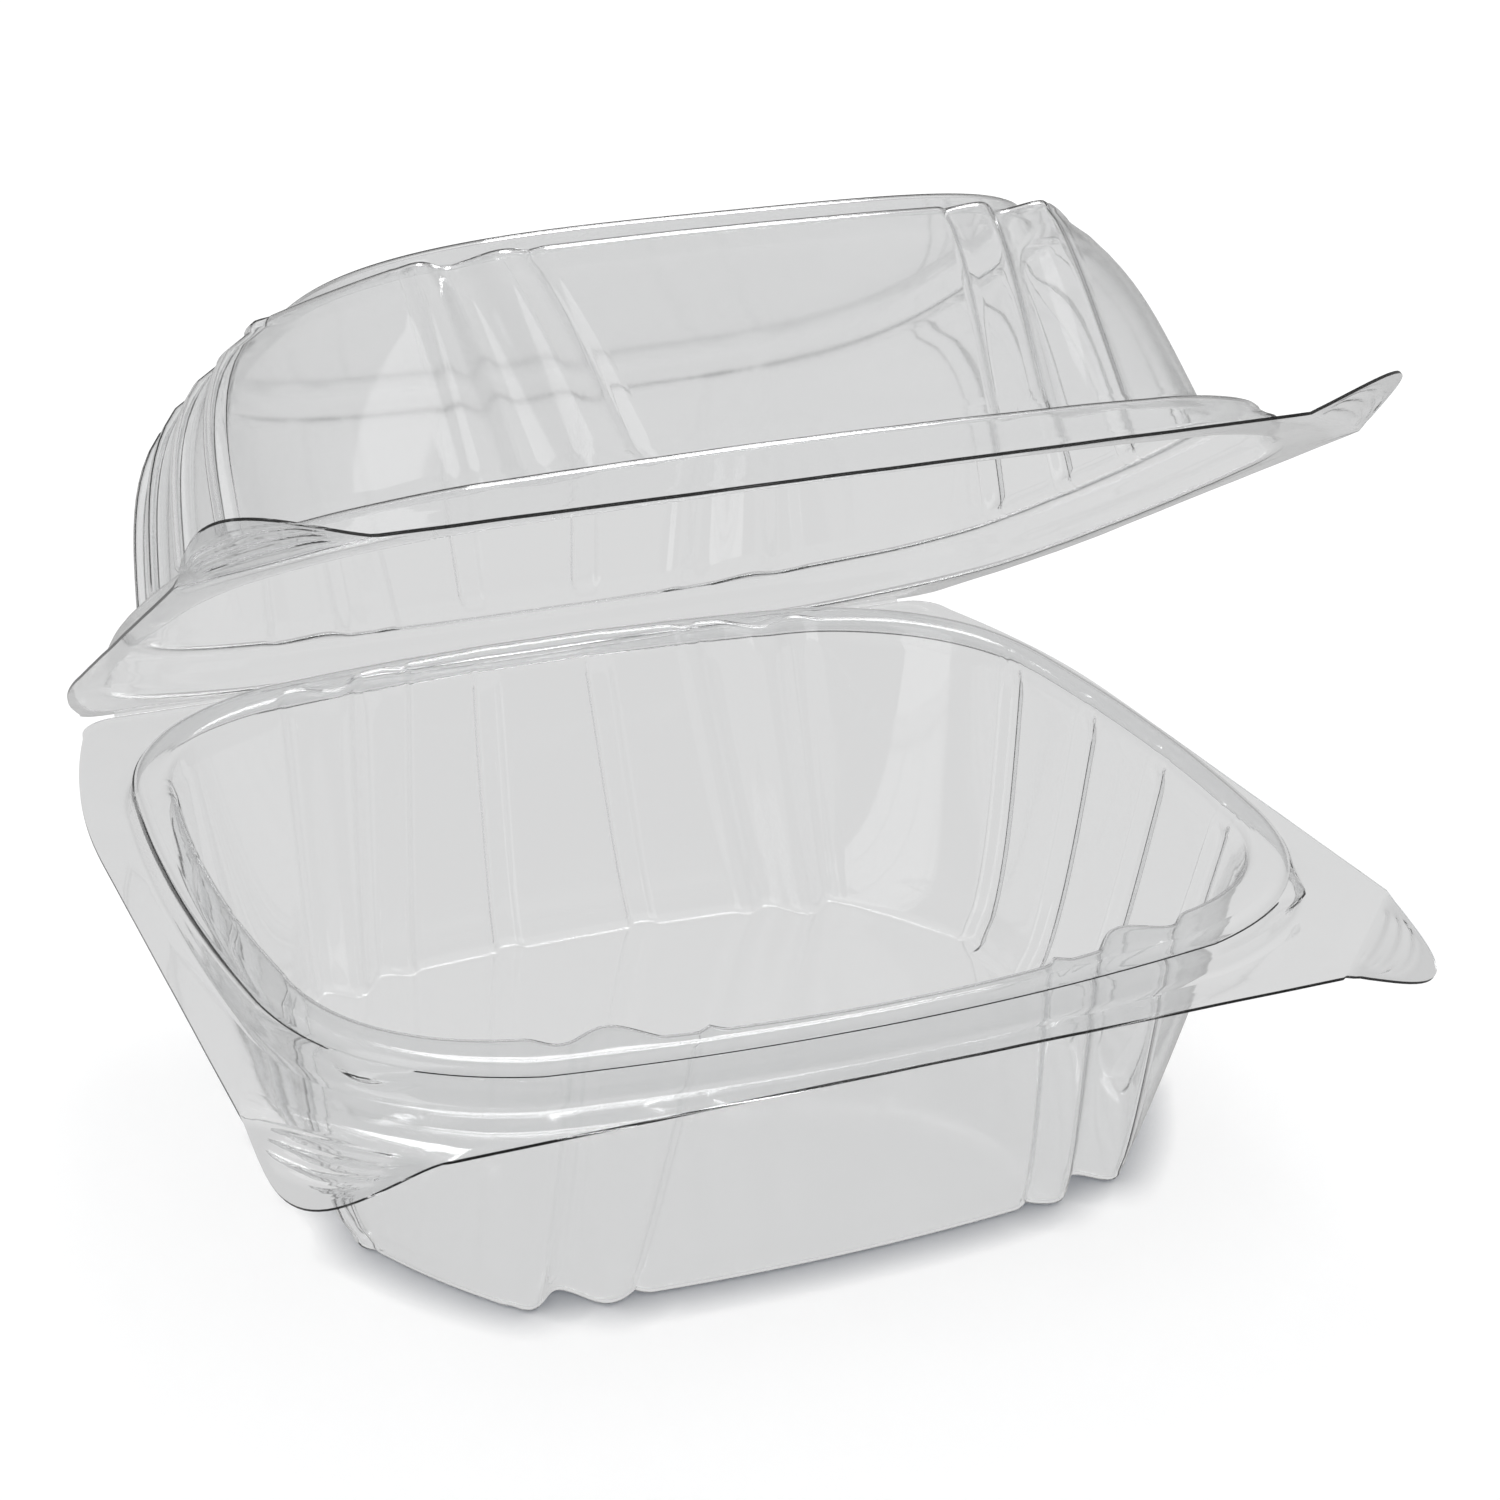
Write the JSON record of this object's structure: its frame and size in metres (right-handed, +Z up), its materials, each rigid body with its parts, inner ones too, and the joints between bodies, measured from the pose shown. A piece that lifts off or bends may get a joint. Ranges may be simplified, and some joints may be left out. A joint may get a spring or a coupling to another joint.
{
  "type": "hinged-lid clear plastic clamshell pack",
  "caption": "Clear thermoformed food pack with fluted drafted walls, a domed lid on a living hinge, stepped rims that nest when closed, and ridged finger tabs at the front corners.",
  "frame": {"origin": "middle of the flat foot, on the surface that the pack stands on", "axes": "+X to the pack's right seen from the finger tabs, +Y from the finger tabs to the hinge, +Z up out of the tray"},
  "size_m": [0.1522, 0.1427, 0.1267],
  "materials": {
    "clear_sheet": "clear glossy sheet"
  },
  "bodies": {
    "base": {"base_tray": "clear_sheet"},
    "lid": {"lid": "clear_sheet"}
  },
  "joints": [
    {"name": "lid_hinge", "type": "hinge", "parent": "base", "child": "lid", "pos_m": [0, 0.071, 0.03865], "axis": [-1, 0, 0], "range_deg": [-28, 152], "stiffness_Nm_per_rad": 0.02, "springref_deg": 11.95}
  ]
}
